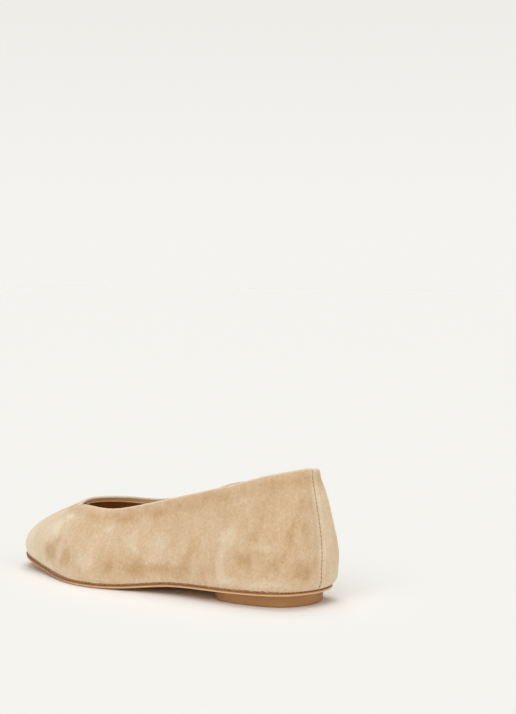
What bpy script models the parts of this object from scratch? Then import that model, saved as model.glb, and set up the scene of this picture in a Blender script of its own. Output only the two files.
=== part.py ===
"""Ballet flat for the left foot: a soft shell on a thin leather sole with a low pad heel.

Metres, +Z up, floor at z = 0. The toe points along -Y, the outer side of the foot faces +X,
and the origin is under the middle of the shoe's box.

Points of the shoe are worked out as (along, across, height): along runs from the back of the heel
to the toe, across runs to the outer side, and height is above the floor.
"""

import bmesh
import bpy
import numpy as np

# Last
LAST_LENGTH = 0.2400  # foot line, back of the heel to the toe tip
BALL_WIDTH = 0.0814  # foot line, across the ball
BACK_HEIGHT = 0.0790  # topline above the floor, at the back
THROAT_HEIGHT = 0.0466  # topline above the floor, at the throat
OPENING_LENGTH = 0.1820  # topline, back to throat
OPENING_WIDTH = 0.0554  # topline, widest
BACK_LEAN = 0.0056  # how far the topline stands in front of the foot line, at the back

# Bottom
HEEL_HEIGHT = 0.0072  # sole's underside above the floor, at the back
TOE_SPRING = 0.0085  # sole's underside above the floor, at the toe tip
TREAD_EDGE_RISE = 0.0005
TREAD_EDGE_WIDTH = 0.0022

# Walls and layers
WALL = 0.0020  # upper with its lining
LASTING_MARGIN = 0.0130
OUTSOLE_THICKNESS = 0.0021
OUTSOLE_EDGE = 0.0008  # how far the sole stands out past the foot line
INSOLE_THICKNESS = 0.0020
FIT_GAP = 0.0003  # between pieces that are glued or nailed together
INSOLE_CLEARANCE = 0.0006  # between the insole's edge and the wall

# Heel pad
HEEL_PAD_FRONT = 0.0682  # from the back of the foot line
HEEL_PAD_INSET = 0.0056  # from the sole's edge, at the back and the sides
HEEL_PAD_CORNER = 0.0260  # length of the rounded front
HEEL_PAD_EDGE = 0.0008

# Mesh
COLUMNS = 96
WALL_ROWS = 12
MARGIN_ROWS = 2
PAD_COLUMNS = 56
PAD_SAMPLES = 480
PLATE_ROWS = (0.35, 0.70, 1.0)  # shares of the way from the edge band to the middle line
WELD_DISTANCE = 0.00001
SMALLEST_SINE = 0.000001

# A row for each section round the shoe, from the back by the outer side, the toe and the inner side.
# turn is the share of the way round. foot_along is a share of LAST_LENGTH and foot_across one of
# BALL_WIDTH. top_along and top_across are shares of OPENING_LENGTH and OPENING_WIDTH. top_rise is 0
# at THROAT_HEIGHT and 1 at BACK_HEIGHT. low_out and high_out say how full the wall is by the foot
# line and under the topline, as shares of BALL_WIDTH, low_up and high_down how far that reaches, as
# shares of the section's height.
SECTION_COLUMNS = (
    "turn", "foot_along", "foot_across", "top_along", "top_across", "top_rise",
    "low_out", "low_up", "high_out", "high_down",
)
SECTIONS = (
    (0.000, 0.000, 0.000, 0.000, 0.000, 1.000, 0.083, 0.325, 0.028, 0.264),
    (0.045, 0.018, 0.196, 0.020, 0.189, 0.976, 0.140, 0.300, 0.025, 0.260),
    (0.095, 0.062, 0.317, 0.108, 0.300, 0.867, 0.104, 0.308, 0.020, 0.278),
    (0.155, 0.171, 0.388, 0.220, 0.378, 0.680, 0.062, 0.312, 0.019, 0.292),
    (0.235, 0.361, 0.400, 0.451, 0.450, 0.347, 0.050, 0.300, 0.025, 0.281),
    (0.305, 0.524, 0.500, 0.659, 0.498, 0.066, 0.053, 0.292, 0.050, 0.249),
    (0.365, 0.673, 0.526, 0.793, 0.460, -0.016, 0.054, 0.303, 0.101, 0.215),
    (0.415, 0.823, 0.363, 0.912, 0.350, -0.028, 0.064, 0.342, 0.163, 0.191),
    (0.460, 0.935, 0.222, 0.986, 0.173, -0.099, 0.080, 0.408, 0.226, 0.222),
    (0.500, 0.995, -0.040, 1.003, -0.016, -0.015, 0.074, 0.448, 0.268, 0.255),
    (0.540, 0.956, -0.294, 0.963, -0.245, 0.007, 0.064, 0.415, 0.250, 0.187),
    (0.585, 0.857, -0.445, 0.892, -0.407, -0.002, 0.058, 0.348, 0.176, 0.186),
    (0.635, 0.729, -0.489, 0.793, -0.501, -0.008, 0.053, 0.303, 0.101, 0.212),
    (0.695, 0.557, -0.395, 0.645, -0.502, 0.117, 0.053, 0.281, 0.051, 0.238),
    (0.765, 0.364, -0.308, 0.445, -0.419, 0.362, 0.056, 0.292, 0.024, 0.272),
    (0.845, 0.172, -0.348, 0.218, -0.357, 0.672, 0.062, 0.308, 0.019, 0.290),
    (0.905, 0.062, -0.315, 0.108, -0.297, 0.856, 0.112, 0.302, 0.020, 0.273),
    (0.955, 0.017, -0.200, 0.018, -0.191, 0.974, 0.158, 0.292, 0.025, 0.259),
)

# A row for each place along the sole's underside. along is a share of LAST_LENGTH, heel a share of
# HEEL_HEIGHT and toe a share of TOE_SPRING. The forefoot lies flat between 0.58 and 0.70.
UNDERSIDE_COLUMNS = ("along", "heel", "toe")
UNDERSIDE = (
    (-0.060, 1.01, 0.00),
    (0.000, 1.00, 0.00),
    (0.150, 0.90, 0.00),
    (0.295, 0.79, 0.00),
    (0.360, 0.70, 0.00),
    (0.420, 0.48, 0.00),
    (0.480, 0.22, 0.00),
    (0.530, 0.06, 0.00),
    (0.580, 0.00, 0.00),
    (0.700, 0.00, 0.00),
    (0.750, 0.00, 0.06),
    (0.811, 0.00, 0.21),
    (0.893, 0.00, 0.55),
    (0.966, 0.00, 0.83),
    (1.000, 0.00, 1.00),
    (1.060, 0.00, 1.27),
)

# How full the pad's rounded front is: 2 is an ellipse, and more is squarer.
PAD_FRONT_POWER = 2.3


def column(table, names, name):
    """One named column of a table, as an array."""
    return np.array([row[names.index(name)] for row in table])


def closed_curve(turns, values, at):
    """The smooth closed curve through values at turns, read at the turns in at."""
    count = len(turns)
    steps = np.diff(np.append(turns, turns[0] + 1.0))
    rises = (np.roll(values, -1) - values) / steps
    system = np.zeros((count, count))
    wanted = np.zeros(count)
    for row in range(count):
        before = steps[row - 1]
        after = steps[row]
        system[row, row - 1] += after
        system[row, row] += 2.0 * (before + after)
        system[row, (row + 1) % count] += before
        wanted[row] = 3.0 * (after * rises[row - 1] + before * rises[row])
    slopes = np.linalg.solve(system, wanted)
    around = np.mod(at, 1.0)
    first = np.searchsorted(turns, around, side="right") - 1
    second = (first + 1) % count
    step = steps[first]
    share = (around - turns[first]) / step
    return hermite(share, step, values[first], values[second], slopes[first], slopes[second])


def hermite(share, step, start, end, start_slope, end_slope):
    """Cubic between two values with given slopes."""
    square = share * share
    cube = square * share
    return (
        start * (2.0 * cube - 3.0 * square + 1.0)
        + end * (3.0 * square - 2.0 * cube)
        + start_slope * step * (cube - 2.0 * square + share)
        + end_slope * step * (cube - square)
    )


def level_curve(places, values, at):
    """Smooth curve through values at places that never overshoots, so that flat stretches stay flat."""
    steps = np.diff(places)
    rises = np.diff(values) / steps
    slopes = np.zeros(len(places))
    slopes[0] = rises[0]
    slopes[-1] = rises[-1]
    for inner in range(1, len(places) - 1):
        before = rises[inner - 1]
        after = rises[inner]
        if before * after > 0.0:
            slopes[inner] = 2.0 * before * after / (before + after)
    inside = np.clip(at, places[0], places[-1])
    first = np.clip(np.searchsorted(places, inside, side="right") - 1, 0, len(steps) - 1)
    share = (inside - places[first]) / steps[first]
    return hermite(
        share, steps[first], values[first], values[first + 1], slopes[first], slopes[first + 1]
    )


def underside(along):
    """Height of the sole's underside above the floor."""
    places = column(UNDERSIDE, UNDERSIDE_COLUMNS, "along") * LAST_LENGTH
    heel = column(UNDERSIDE, UNDERSIDE_COLUMNS, "heel") * HEEL_HEIGHT
    toe = column(UNDERSIDE, UNDERSIDE_COLUMNS, "toe") * TOE_SPRING
    return level_curve(places, heel + toe, along)


def section_curve(name, at):
    """One column of the sections, as a smooth curve round the shoe."""
    turns = column(SECTIONS, SECTION_COLUMNS, "turn")
    return closed_curve(turns, column(SECTIONS, SECTION_COLUMNS, name), at)


def outward(plan):
    """Unit vectors in plan, square to a closed line that runs by the outer side to the toe."""
    run = np.roll(plan, -1, axis=0) - np.roll(plan, 1, axis=0)
    square = np.stack([-run[:, 1], run[:, 0]], axis=1)
    return square / np.linalg.norm(square, axis=1)[:, None]


def foot_line(at):
    """Plan of the line where the wall meets the sole."""
    along = section_curve("foot_along", at) * LAST_LENGTH
    across = section_curve("foot_across", at) * BALL_WIDTH
    return np.stack([along, across], axis=1)


def topline(at):
    """Plan and height of the edge of the opening."""
    along = BACK_LEAN + section_curve("top_along", at) * OPENING_LENGTH
    across = section_curve("top_across", at) * OPENING_WIDTH
    rise = section_curve("top_rise", at)
    return np.stack([along, across], axis=1), THROAT_HEIGHT + rise * (BACK_HEIGHT - THROAT_HEIGHT)


def seat_height(along):
    """Height of the lasting margin's underside."""
    return underside(along) + OUTSOLE_THICKNESS + FIT_GAP


def upper_surface():
    """The upper's outer face, as rows of points: margin's inner edge, foot line, topline."""
    at = np.arange(COLUMNS) / COLUMNS
    foot = foot_line(at)
    foot_out = outward(foot)
    top, top_height = topline(at)
    top_out = outward(top)
    foot_height = seat_height(foot[:, 0])
    tall = top_height - foot_height
    low = foot + foot_out * (section_curve("low_out", at) * BALL_WIDTH)[:, None]
    low_height = foot_height + section_curve("low_up", at) * tall
    high = top + top_out * (section_curve("high_out", at) * BALL_WIDTH)[:, None]
    high_height = top_height - section_curve("high_down", at) * tall
    rows = []
    for step in range(MARGIN_ROWS):
        plan = foot - foot_out * LASTING_MARGIN * (1.0 - step / MARGIN_ROWS)
        rows.append(np.column_stack([plan, seat_height(plan[:, 0])]))
    start = np.column_stack([foot, foot_height])
    low = np.column_stack([low, low_height])
    high = np.column_stack([high, high_height])
    end = np.column_stack([top, top_height])
    for step in range(WALL_ROWS + 1):
        share = step / WALL_ROWS
        rest = 1.0 - share
        rows.append(
            start * rest**3 + low * 3.0 * rest**2 * share + high * 3.0 * rest * share**2 + end * share**3
        )
    return np.array(rows)


def shoe_centre(surface):
    """Along and across of the middle of the shoe's box."""
    edge = outsole_outline()
    low = np.minimum(surface[:, :, :2].min(axis=(0, 1)), edge.min(axis=0))
    high = np.maximum(surface[:, :, :2].max(axis=(0, 1)), edge.max(axis=0))
    return (low + high) / 2.0


def in_metres(point):
    """World axes of (along, across, height): the toe lies along -Y and the outer side along +X."""
    return (point[1], -point[0], point[2])


def material(name, colour, roughness):
    made = bpy.data.materials.new(name)
    made.use_nodes = True
    shader = made.node_tree.nodes["Principled BSDF"]
    shader.inputs["Base Color"].default_value = (*colour, 1.0)
    shader.inputs["Roughness"].default_value = roughness
    shader.inputs["Metallic"].default_value = 0.0
    made.diffuse_color = (*colour, 1.0)
    return made


def add_piece(name, mesh_data, finish, shoe, collection):
    """Makes the object of one piece and hangs it on the shoe's empty."""
    mesh = bpy.data.meshes.new(name)
    mesh_data.to_mesh(mesh)
    mesh_data.free()
    mesh.shade_smooth()
    mesh.set_sharp_from_angle(angle=np.radians(40.0))
    mesh.materials.append(finish)
    piece = bpy.data.objects.new(name, mesh)
    piece.parent = shoe
    collection.objects.link(piece)
    return piece


def ring_sheet(rows):
    """An open sheet from closed rows of points, laid on a grid whose two ends are welded."""
    count = rows.shape[1]
    last = rows.shape[0] - 1
    sheet = bmesh.new()
    bmesh.ops.create_grid(sheet, x_segments=count, y_segments=last, size=1.0)
    for vertex in sheet.verts:
        around = round((1.0 - vertex.co.x) / 2.0 * count) % count
        row = round((vertex.co.y + 1.0) / 2.0 * last)
        vertex.co = in_metres(rows[row, around])
    bmesh.ops.remove_doubles(sheet, verts=sheet.verts[:], dist=WELD_DISTANCE)
    return sheet


def make_upper(surface, finish, shoe, collection):
    upper = add_piece("upper", ring_sheet(surface), finish, shoe, collection)
    wall = upper.modifiers.new("Wall", "SOLIDIFY")
    wall.thickness = WALL
    wall.offset = -1.0
    wall.use_even_offset = True
    return upper


def plate(outline, band, low_height, high_height):
    """A closed plate inside an outline, whose columns pair off across its middle line.

    low_height and high_height give the height of its two faces from along and from the share of
    the edge, which is 1 on the outline and 0 inside the band of the given width.
    """
    count = len(outline)
    inner = outline - outward(outline) * band
    partner = np.mod(-np.arange(count), count)
    middle = (inner + inner[partner]) / 2.0
    plans = [outline, inner]
    for share in PLATE_ROWS:
        plans.append(inner + (middle - inner) * share)
    edge_share = np.zeros(len(plans))
    edge_share[0] = 1.0
    body = bmesh.new()
    for height, turned in ((low_height, False), (high_height, True)):
        rows = np.array(
            [np.column_stack([plan, height(plan[:, 0], edge)]) for plan, edge in zip(plans, edge_share)]
        )
        face = ring_sheet(rows)
        if turned:
            bmesh.ops.reverse_faces(face, faces=face.faces[:])
        carrier = bpy.data.meshes.new("face")
        face.to_mesh(carrier)
        face.free()
        body.from_mesh(carrier)
        bpy.data.meshes.remove(carrier)
    rims = [edge for edge in body.edges if edge.is_boundary]
    bmesh.ops.bridge_loops(body, edges=rims)
    bmesh.ops.recalc_face_normals(body, faces=body.faces[:])
    return body


def outsole_outline():
    foot = foot_line(np.arange(COLUMNS) / COLUMNS)
    return foot + outward(foot) * OUTSOLE_EDGE


def make_outsole(finish, shoe, collection):
    def tread(along, edge):
        return underside(along) + TREAD_EDGE_RISE * edge

    def bed(along, edge):
        return underside(along) + OUTSOLE_THICKNESS

    body = plate(outsole_outline(), TREAD_EDGE_WIDTH, tread, bed)
    return add_piece("outsole", body, finish, shoe, collection)


def make_insole(finish, shoe, collection):
    def bottom(along, edge):
        return seat_height(along) + WALL + FIT_GAP

    def face(along, edge):
        return bottom(along, edge) + INSOLE_THICKNESS * (1.0 - edge / 2.0)

    foot = foot_line(np.arange(COLUMNS) / COLUMNS)
    outline = foot - outward(foot) * (WALL + INSOLE_CLEARANCE)
    body = plate(outline, INSOLE_THICKNESS, bottom, face)
    return add_piece("insole", body, finish, shoe, collection)


def pad_outline():
    """Rounded D: the sole's outline set in at the back and the sides, with a rounded front."""
    foot = foot_line(np.arange(PAD_SAMPLES) / PAD_SAMPLES)
    edge = foot + outward(foot) * (OUTSOLE_EDGE - HEEL_PAD_INSET)
    half = PAD_SAMPLES // 2
    outer = edge[: half + 1]
    inner = np.vstack([edge[:1], edge[: half - 1 : -1]])
    angle = np.arange(PAD_COLUMNS) / PAD_COLUMNS * 2.0 * np.pi
    back = edge[0, 0]
    along = back + (HEEL_PAD_FRONT - back) * (1.0 - np.cos(angle)) / 2.0
    outer_side = np.interp(along, outer[:, 0], outer[:, 1])
    inner_side = np.interp(along, inner[:, 0], inner[:, 1])
    past = np.clip((along - HEEL_PAD_FRONT) / HEEL_PAD_CORNER + 1.0, 0.0, 1.0)
    closing = (1.0 - past**PAD_FRONT_POWER) ** (1.0 / PAD_FRONT_POWER)
    middle = (outer_side + inner_side) / 2.0
    side = np.sign(np.sin(angle)) * (np.abs(np.sin(angle)) > SMALLEST_SINE)
    across = middle + side * (outer_side - inner_side) / 2.0 * closing
    return np.stack([along, across], axis=1)


def make_heel(finish, shoe, collection):
    def ground(along, edge):
        return np.full(len(along), HEEL_PAD_EDGE * edge)

    def seat(along, edge):
        return underside(along) - FIT_GAP

    body = plate(pad_outline(), HEEL_PAD_EDGE, ground, seat)
    return add_piece("heel", body, finish, shoe, collection)


def build():
    for old in list(bpy.data.objects):
        bpy.data.objects.remove(old, do_unlink=True)
    collection = bpy.data.collections.new("ballet_flat")
    bpy.context.scene.collection.children.link(collection)
    suede = material("suede", (0.60, 0.43, 0.26), 0.92)
    sock_leather = material("sock_leather", (0.22, 0.11, 0.05), 0.55)
    sole_leather = material("sole_leather", (0.55, 0.29, 0.14), 0.55)
    pad_rubber = material("pad_rubber", (0.30, 0.17, 0.08), 0.60)
    surface = upper_surface()
    centre = shoe_centre(surface)
    shoe = bpy.data.objects.new("shoe", None)
    shoe.location = (-centre[1], centre[0], 0.0)
    collection.objects.link(shoe)
    make_upper(surface, suede, shoe, collection)
    make_insole(sock_leather, shoe, collection)
    make_outsole(sole_leather, shoe, collection)
    make_heel(pad_rubber, shoe, collection)


build()
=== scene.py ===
"""Looks of a ballet flat in brushed suede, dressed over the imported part.

Metres, in the part's own frame: +Z up, the toe along -Y, the outer side of the foot along +X.
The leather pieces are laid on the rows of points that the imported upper's own walls give.
"""

import math

import bmesh
import bpy
import numpy as np
from mathutils import Matrix, Vector, noise


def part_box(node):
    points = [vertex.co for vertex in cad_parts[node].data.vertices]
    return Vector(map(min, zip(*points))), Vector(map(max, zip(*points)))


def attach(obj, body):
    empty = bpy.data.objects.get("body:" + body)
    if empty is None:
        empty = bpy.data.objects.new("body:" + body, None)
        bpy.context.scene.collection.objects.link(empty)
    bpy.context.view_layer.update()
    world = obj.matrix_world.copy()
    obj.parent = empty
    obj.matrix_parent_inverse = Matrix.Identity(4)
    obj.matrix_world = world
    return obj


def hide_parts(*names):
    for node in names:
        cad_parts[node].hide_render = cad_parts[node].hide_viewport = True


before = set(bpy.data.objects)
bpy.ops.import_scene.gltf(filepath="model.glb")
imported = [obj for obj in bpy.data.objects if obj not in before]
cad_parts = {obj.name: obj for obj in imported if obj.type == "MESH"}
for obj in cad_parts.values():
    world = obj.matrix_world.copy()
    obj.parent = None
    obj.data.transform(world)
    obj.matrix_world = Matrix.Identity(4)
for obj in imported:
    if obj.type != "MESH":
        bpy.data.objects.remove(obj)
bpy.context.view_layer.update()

# Camera
CAMERA_PLACE = Vector((0.8040, 0.7407, 0.2005))
CAMERA_AIM = Vector((-0.0408, 0.0406, 0.1391))
LENS_MM = 89.88
SENSOR_MM = 36.0
FARTHEST_SEEN = 60.0

# Light and floor
SKY_HIGH = (0.270, 0.268, 0.262)
SKY_LOW = (0.800, 0.775, 0.700)
SKY_RISE = 0.5  # sine of the angle above the horizon where the light from all round is weakest
LAMP_COLOUR = (1.0, 0.995, 0.980)
BACKDROP_LOW = (0.905, 0.896, 0.866)
BACKDROP_HIGH = (0.836, 0.827, 0.793)
BACKDROP_RISE = 0.22  # sine of the angle above the horizon where the backdrop is darkest
FLOOR_COLOUR = (0.920, 0.920, 0.905)
FLOOR_SIZE = 16.0
FLOOR_SQUARES = 8
SUNS = (  # name, strength, softness in degrees, where the light comes from
    ("overhead", 1.19, 40.0, (-0.20, -0.12, 1.0)),
    ("front", 1.08, 50.0, (0.85, 0.25, 1.0)),
    ("back", 0.42, 60.0, (0.05, 1.0, 0.55)),
)

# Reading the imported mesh
WELD = 0.00001
SHARP_ANGLE = math.radians(42.0)
SMOOTH_ANGLE = math.radians(38.0)
FLAT_ANGLE = 0.0005
FLAT_FACE = 0.75  # how far up or down a face of the sole looks before it is its top or its underside

# Bevels of the solid pieces
INSOLE_BEVEL = 0.0005
OUTSOLE_BEVEL = 0.0005
HEEL_BEVEL = 0.0004
BEVEL_SEGMENTS = 3

# Where the soft edge stands up a little: side as in the creases, y, reach along and height
EDGE_RISES = (
    (-1, 0.0380, 0.0230, 0.0029),
    (-1, -0.0600, 0.0120, 0.0006),
    (-1, 0.1130, 0.0060, -0.0009),
)
RISE_FADE = 0.030  # how far down the wall a rise is felt
RISE_SIDE = 0.006

# Suede
SUEDE_COLUMNS = 480
SUEDE_STEPS = 12  # rows for each packed one, before they are placed by distance
SUEDE_THICKNESS = 0.0007
RIM_WIDTH = 0.0020
RIM_STEPS = 7
RIM_WAVER = 0.00005
RIM_WAVER_SCALE = 480.0
FOLD_ROWS = (  # how far down inside each row of the fold is, and how far it stands in
    (0.0, 0.0),
    (0.0005, 0.00022),
    (0.0010, 0.00048),
    (0.0015, 0.00072),
    (0.0021, 0.00090),
    (0.0034, 0.00075),
    (0.0050, 0.00025),
)
FOLD_SHADE_DROP = 0.0012  # how far down inside the fold its painted shade starts, where the lining's edge stands over it
FINE_ROW = 0.0005
FINE_BAND = 0.0075
FOOT_BAND = 0.0040
BODY_ROWS = 42
TUCK_STEPS = (0.0006, 0.0020, 0.0050)
TAPE_BAND = 0.0044  # from the edge to the end of the tape under the folded edge
TAPE_LIFT = 0.00014
TAPE_CENTRE = 0.45  # share of TAPE_BAND, as are the tape's reach and the trough's centre
TAPE_REACH = 0.50
TAPE_TROUGH = 0.00014
TROUGH_CENTRE = 1.35
TROUGH_REACH = 0.0022
FOOT_ROUND = 0.0011
FOOT_ROUND_DEPTH = 0.45  # share of FOOT_ROUND

# Fullness of the stiffened back, just above the sole
COUNTER_FILL = 0.0013
COUNTER_HEIGHT = 0.0045
COUNTER_REACH = 0.0050
COUNTER_FRONT = 0.098  # y where it starts
COUNTER_RUN = 0.016

# Gathers of the suede where it is pulled over the edge of the last
PLEAT_REACH = 0.0042
PLEAT_DEPTH = 0.00020
PLEAT_STEP = 0.0026
PLEAT_WAVER = 0.004
PLEAT_WAVER_SCALE = 55.0
PLEAT_START = 0.060  # how far from the middle of the shoe they start to grow
PLEAT_RUN = 0.045
PLEAT_LEAST = 0.12  # share of their depth that is left along the sides

# Back seam
SEAM_DEPTH = 0.00024
SEAM_WIDTH = 0.00045
SEAM_SHOULDER = 0.0018
SEAM_LIFT = 0.00012
SEAM_CURVE = 0.0018  # how far its foot bends to the outer side
SEAM_CURVE_HEIGHT = 0.026
SEAM_CURVE_REACH = 0.012
STITCH_STEP = 0.0024
STITCH_LENGTH = 0.0017
STITCH_RADIUS = 0.00040
STITCH_FLAT = 0.8  # share of its radius that it stands out
STITCH_SINK = 0.00002
STITCH_OFFSET = 0.00030
STITCH_START = 0.0046

# Lining
LINING_COLUMNS = 288
LINING_STEPS = 8
LINING_ROWS = 36
LINING_CROWD = 1.4  # how much closer its rows are at the top
LINING_DROP = 0.0019
LINING_THICKNESS = 0.00080
LINING_BEVEL = 0.00018
LINING_STAND = 0.00150  # how far its edge stands in over the folded suede
LINING_STAND_REACH = 0.0060
LINING_SEAM = 0.0003
LINING_SEAM_WIDTH = 0.0007

# Dark strip between the suede and the sole, its darkness partly painted shade of the gap there
FEATHER_COLUMNS = 720
FEATHER_TALL = 0.00050  # half its height at the heel and the sides
FEATHER_TALL_TOE = 0.00095
FEATHER_DEEP = 0.00042
FEATHER_INSET = 0.00005
FEATHER_SIDES = 8
FEATHER_TOE = (-0.020, -0.060)  # y where the strip starts to widen and where it is widest
FEATHER_ROUGH = 0.55  # share of its height
FEATHER_ROUGH_SCALE = 520.0
FEATHER_RISE = 0.35  # share of its height that its middle is above the foot line
FEATHER_LOWEST = 0.0002  # how far it may reach below the foot line

# Marks where the nap is brushed the other way, on the outer side. y and z are the place, tall and
# long the reach up and along, lean how far the top leans to the heel, and tone darkens.
NAP_MARK_COLUMNS = ("y", "z", "tall", "long", "lean", "tone")
NAP_MARKS = (
    (-0.0680, 0.0165, 0.0054, 0.0062, 0.0, 3.40),
    (-0.0490, 0.0140, 0.0075, 0.0042, 0.2, 1.25),
    (-0.0580, 0.0260, 0.0080, 0.0042, 0.4, 0.45),
    (-0.0330, 0.0395, 0.0030, 0.0120, 0.3, 0.45),
    (-0.0060, 0.0420, 0.0040, 0.0160, 0.3, 0.55),
    (0.0180, 0.0465, 0.0035, 0.0140, 0.3, 0.40),
    (-0.0110, 0.0160, 0.0090, 0.0050, 0.1, 0.65),
    (0.0110, 0.0310, 0.0070, 0.0028, 0.1, 0.55),
    (0.0115, 0.0135, 0.0055, 0.0130, 0.0, 0.95),
    (0.0110, 0.0215, 0.0050, 0.0026, 0.1, 0.50),
    (0.0330, 0.0225, 0.0060, 0.0030, 0.1, 0.65),
    (0.0310, 0.0140, 0.0045, 0.0130, 0.0, 1.10),
    (0.0490, 0.0310, 0.0100, 0.0055, 0.4, 0.80),
    (0.0440, 0.0170, 0.0060, 0.0060, 0.2, 0.75),
    (0.0600, 0.0170, 0.0060, 0.0060, 0.0, 0.60),
    (0.0940, 0.0460, 0.0045, 0.0080, 0.5, 0.60),
    (0.0900, 0.0395, 0.0050, 0.0075, 0.3, 0.60),
    (0.0886, 0.0262, 0.0065, 0.0080, 0.0, 0.75),
    (0.1065, 0.0245, 0.0060, 0.0055, 0.0, 0.80),
    (0.1190, 0.0215, 0.0080, 0.0036, 0.0, 1.30),
    (0.1140, 0.0500, 0.0200, 0.0042, 0.1, 0.60),
    (-0.0560, 0.0375, 0.0045, 0.0060, 0.0, -0.70),
    (-0.0680, 0.0310, 0.0050, 0.0060, 0.3, -0.90),
    (-0.0160, 0.0371, 0.0038, 0.0045, 0.0, -0.65),
    (0.0050, 0.0300, 0.0090, 0.0080, 0.1, -0.48),
    (0.0250, 0.0305, 0.0090, 0.0100, 0.1, -0.50),
    (-0.0270, 0.0145, 0.0065, 0.0090, 0.0, -0.62),
    (0.0740, 0.0150, 0.0050, 0.0080, 0.0, -0.40),
    (-0.0370, 0.0260, 0.0080, 0.0060, 0.0, -0.55),
    (-0.0240, 0.0250, 0.0080, 0.0065, 0.0, -0.50),
    (0.0740, 0.0370, 0.0065, 0.0100, 0.1, -0.60),
    (0.0760, 0.0460, 0.0055, 0.0042, 0.3, -0.45),
    (0.0960, 0.0345, 0.0030, 0.0100, 0.0, -0.60),
    (0.0710, 0.0228, 0.0085, 0.0042, 0.0, -0.60),
    (0.1050, 0.0520, 0.0080, 0.0040, 0.0, -0.35),
    (0.0980, 0.0140, 0.0030, 0.0260, 0.0, -0.50),
    (-0.0930, 0.0210, 0.0120, 0.0200, 0.0, -0.35),
)
NAP_WAVERS = (  # reach, size and seed of each noise that moves the marks' outlines
    (0.0022, 0.012, 3.0),
    (0.0010, 0.004, 9.0),
)
NAP_INNER_SHIFT = (0.0, 0.0110, 0.0025)  # how far the marks lie off on the inner side

# Soft creases and hollows of the leather, by the same columns as the marks: side is 1 for the outer
# side and -1 for the inner one, and depth is how far the leather goes in.
CREASE_COLUMNS = ("side", "y", "z", "tall", "long", "lean", "depth")
CREASES = (
    (1, -0.0200, 0.0300, 0.0120, 0.0045, 0.6, 0.00030),
    (1, -0.0330, 0.0260, 0.0120, 0.0040, 0.8, 0.00025),
    (1, 0.0480, 0.0270, 0.0130, 0.0060, 0.3, 0.00045),
    (1, 0.0300, 0.0180, 0.0060, 0.0120, 0.0, 0.00035),
    (1, 0.0880, 0.0270, 0.0080, 0.0100, 0.0, 0.00040),
    (1, 0.0720, 0.0330, 0.0150, 0.0060, 0.2, -0.00030),
    (1, 0.0150, 0.0330, 0.0080, 0.0120, 0.0, -0.00025),
    (1, -0.0680, 0.0170, 0.0050, 0.0060, 0.0, 0.00035),
    (1, 0.1080, 0.0480, 0.0160, 0.0070, 0.0, 0.00035),
    (-1, -0.0240, 0.0300, 0.0120, 0.0045, 0.6, 0.00035),
    (-1, -0.0380, 0.0250, 0.0120, 0.0045, 0.8, 0.00030),
    (-1, 0.0250, 0.0250, 0.0110, 0.0080, 0.2, 0.00055),
    (-1, 0.0500, 0.0300, 0.0140, 0.0070, 0.2, 0.00045),
    (-1, 0.0780, 0.0300, 0.0120, 0.0080, 0.1, -0.00030),
    (-1, 0.1040, 0.0450, 0.0160, 0.0080, 0.0, 0.00040),
    (-1, 0.1150, 0.0620, 0.0120, 0.0120, 0.0, -0.00110),
)
SIDE_EASE = 2.5  # how quickly marks and creases fade where the shoe turns to its toe, back or top

# Tone of the nap, where 1 is the whole way from pale to dark. The ranges say where a tone starts
# and where it is whole.
NAP_RAGGED = 1.3
NAP_DARKER = (0.12, 0.90)
NAP_DARKER_TONE = 0.29
NAP_LIGHTER = (0.12, 0.80)
NAP_LIGHTER_TONE = 0.36
NAP_DEEPEST = (0.9, 1.9)
NAP_DEEPEST_TONE = 0.34
CLOUD_TONE = 0.70
STROKE_TONE = 0.45
SPECK_TONE = 0.80
CLUMP_TONE = 0.60
TONE_TO_RAMP = 0.8

# Tone of the suede by place, and the distances in metres between which it fades
# Painted highlight along the rim, where its rolled top catches the light
RIM_HIGHLIGHT_TONE = -0.35
RIM_HIGHLIGHT_END = (0.0002, 0.0010)
# Painted highlight over the toe, where it faces up to the lamps
TOE_HIGHLIGHT_TONE = -0.38
TOE_HIGHLIGHT_START = (-0.030, -0.095)
# Painted shade in the trough below the tape under the folded edge
TROUGH_SHADE_TONE = 0.20
TROUGH_SHADE_START = (0.0010, 0.0050)
TROUGH_SHADE_END = (0.0064, 0.0120)
# Painted highlight on the strip beside the back seam, which faces the back lamp
STRIP_HIGHLIGHT_TONE = -0.22
STRIP_HIGHLIGHT_END = (0.0016, 0.0046)
# Painted highlight on the back of the inner side, which faces the back lamp
INNER_BACK_HIGHLIGHT_TONE = -0.18
INNER_BACK_HIGHLIGHT_Y = (0.108, 0.118)
INNER_BACK_HIGHLIGHT_X = (0.0, -0.006)
LOW_TONE = -0.16
LOW_TONE_END = (0.0020, 0.0120)
SOIL_REACH = 0.0006
SOIL_REACH_TOE = 0.0014
SOIL_TOE = (-0.030, -0.062)
SOIL_SHARE = 0.80
SEAM_LINE = (0.00015, 0.00060)
SEAM_LINE_SHARE = 0.65
# Share of the fold's painted light and of its painted shade
FOLD_SHARE = 0.8
LINING_EDGE_HIGHLIGHT_END = (0.0006, 0.0012)
SOLE_EDGE_TOE = (-0.030, -0.070)

# Colours
SUEDE_LIGHT = (0.855, 0.730, 0.545, 1.0)
SUEDE_MIDDLE = (0.700, 0.497, 0.312, 1.0)
SUEDE_DARK = (0.526, 0.308, 0.142, 1.0)
SUEDE_SOILED = (0.380, 0.205, 0.100, 1.0)
SUEDE_SEAM = (0.440, 0.235, 0.100, 1.0)
# Painted light on the fold inside the rim, which lies in shade inside the shoe
FOLD_PAINTED_LIGHT = (1.000, 0.800, 0.550, 1.0)
SUEDE_SHEEN = (1.0, 0.93, 0.82, 1.0)
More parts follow.
